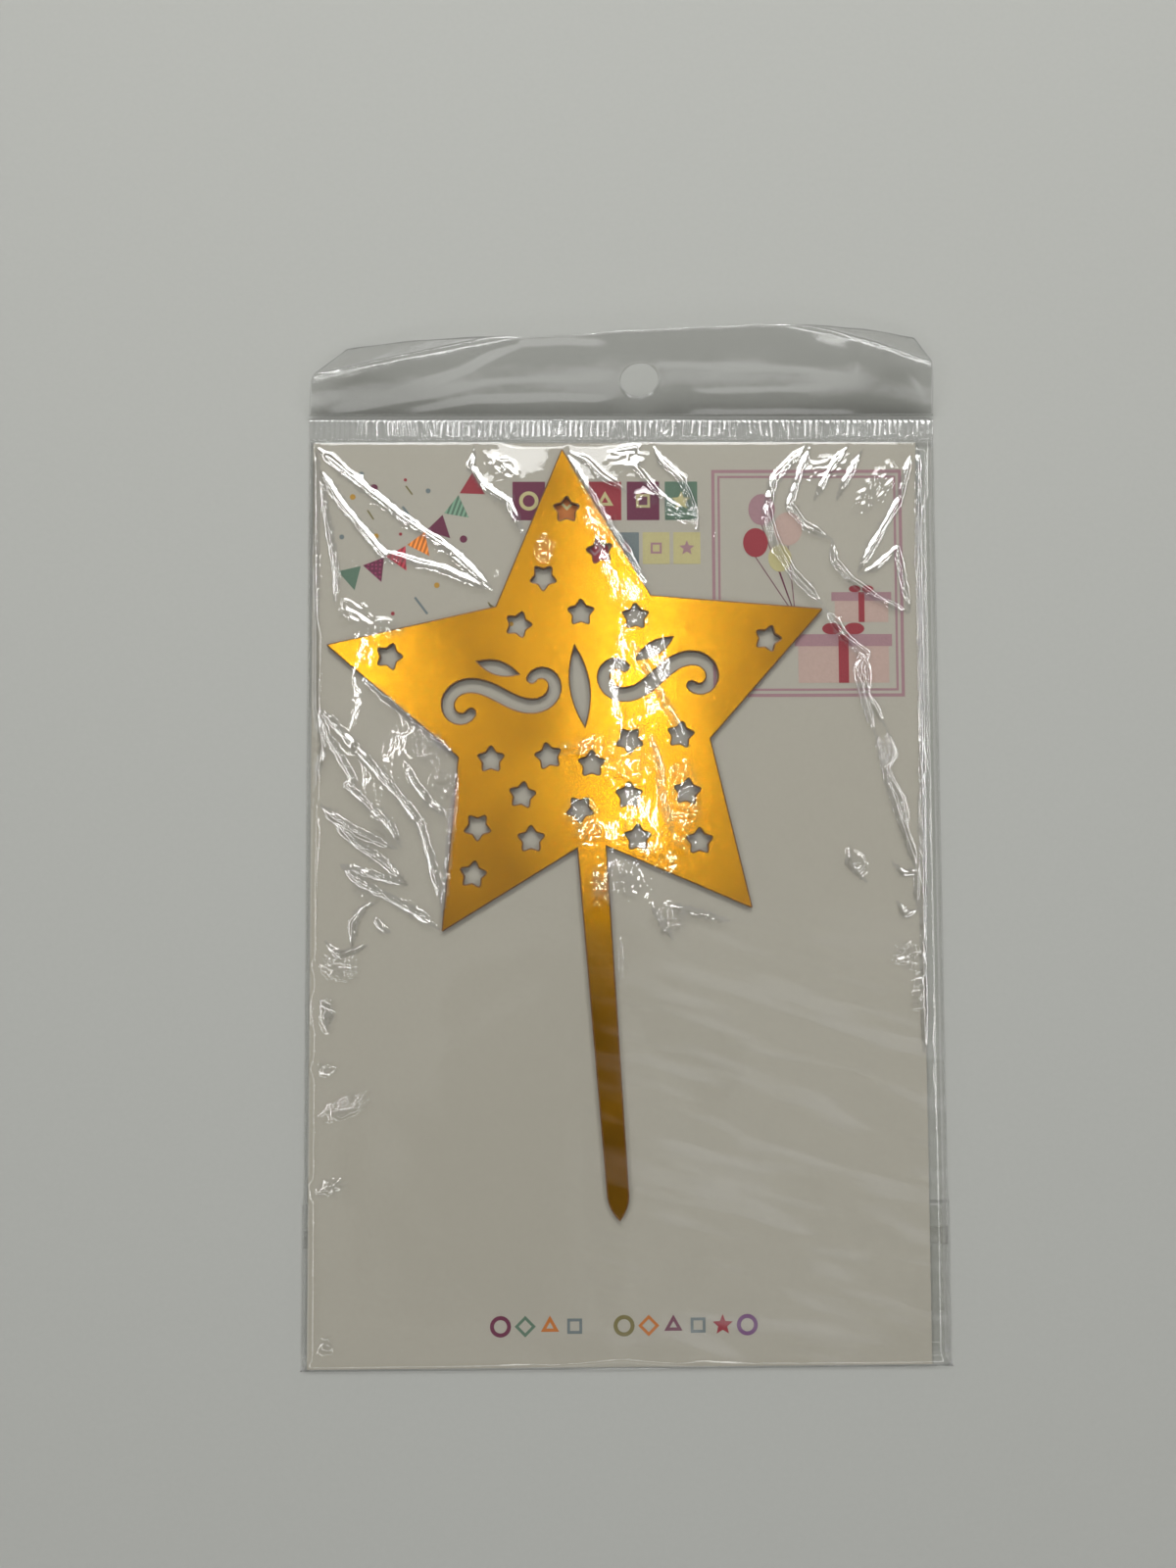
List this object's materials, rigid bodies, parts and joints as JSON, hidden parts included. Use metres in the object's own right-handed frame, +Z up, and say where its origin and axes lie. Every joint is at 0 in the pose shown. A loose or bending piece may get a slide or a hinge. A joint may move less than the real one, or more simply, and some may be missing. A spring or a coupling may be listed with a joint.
{
  "type": "cake topper in hanging pack",
  "caption": "Gold star cake topper on a tapered stick, with star and scroll cut-outs, on a backing card in a clear film hang bag with a ribbed seal, header and closing flap.",
  "frame": {"origin": "middle of the pack's outline, on the surface that the pack lies on", "axes": "+X to the pack's right as seen from its front, +Y along the pack from the folded flap to the header, +Z up, out of the pack's front"},
  "size_m": [0.136, 0.2216, 0.0158],
  "materials": {
    "gold_mirror": "gold mirror sheet with brown cut edges",
    "white_card": "matt off-white card, printed on its front",
    "clear_film": "clear glossy film with light creases",
    "welded_film": "clear film, heat sealed and ribbed",
    "clear_adhesive": "hazy clear adhesive strip"
  },
  "bodies": {
    "bag": {"front_film": "clear_film", "back_film": "clear_film", "left_side_weld": "welded_film", "right_side_weld": "welded_film", "header_seal_band": "welded_film"},
    "header": {"header_front_film": "clear_film", "header_back_film": "clear_film"},
    "flap": {"closing_flap": "clear_film", "adhesive_strip": "clear_adhesive"},
    "card": {"backing_card": "white_card"},
    "topper": {"topper": "gold_mirror"}
  },
  "joints": [
    {"name": "header_fold", "type": "hinge", "parent": "bag", "child": "header", "pos_m": [0, 0.09061, 0.00103], "axis": [1, 0, 0], "range_deg": [0, 90]},
    {"name": "flap_fold", "type": "hinge", "parent": "bag", "child": "flap", "pos_m": [0, -0.11071, 0.00042], "axis": [-1, 0, 0], "range_deg": [0, 180]},
    {"name": "topper_slide", "type": "slide", "parent": "bag", "child": "topper", "axis": [0, 1, 0], "range_m": [-0.028, 0.001]},
    {"name": "card_slide", "type": "slide", "parent": "bag", "child": "card", "axis": [1, 0, 0], "range_m": [-0.0002, 0.003]}
  ]
}
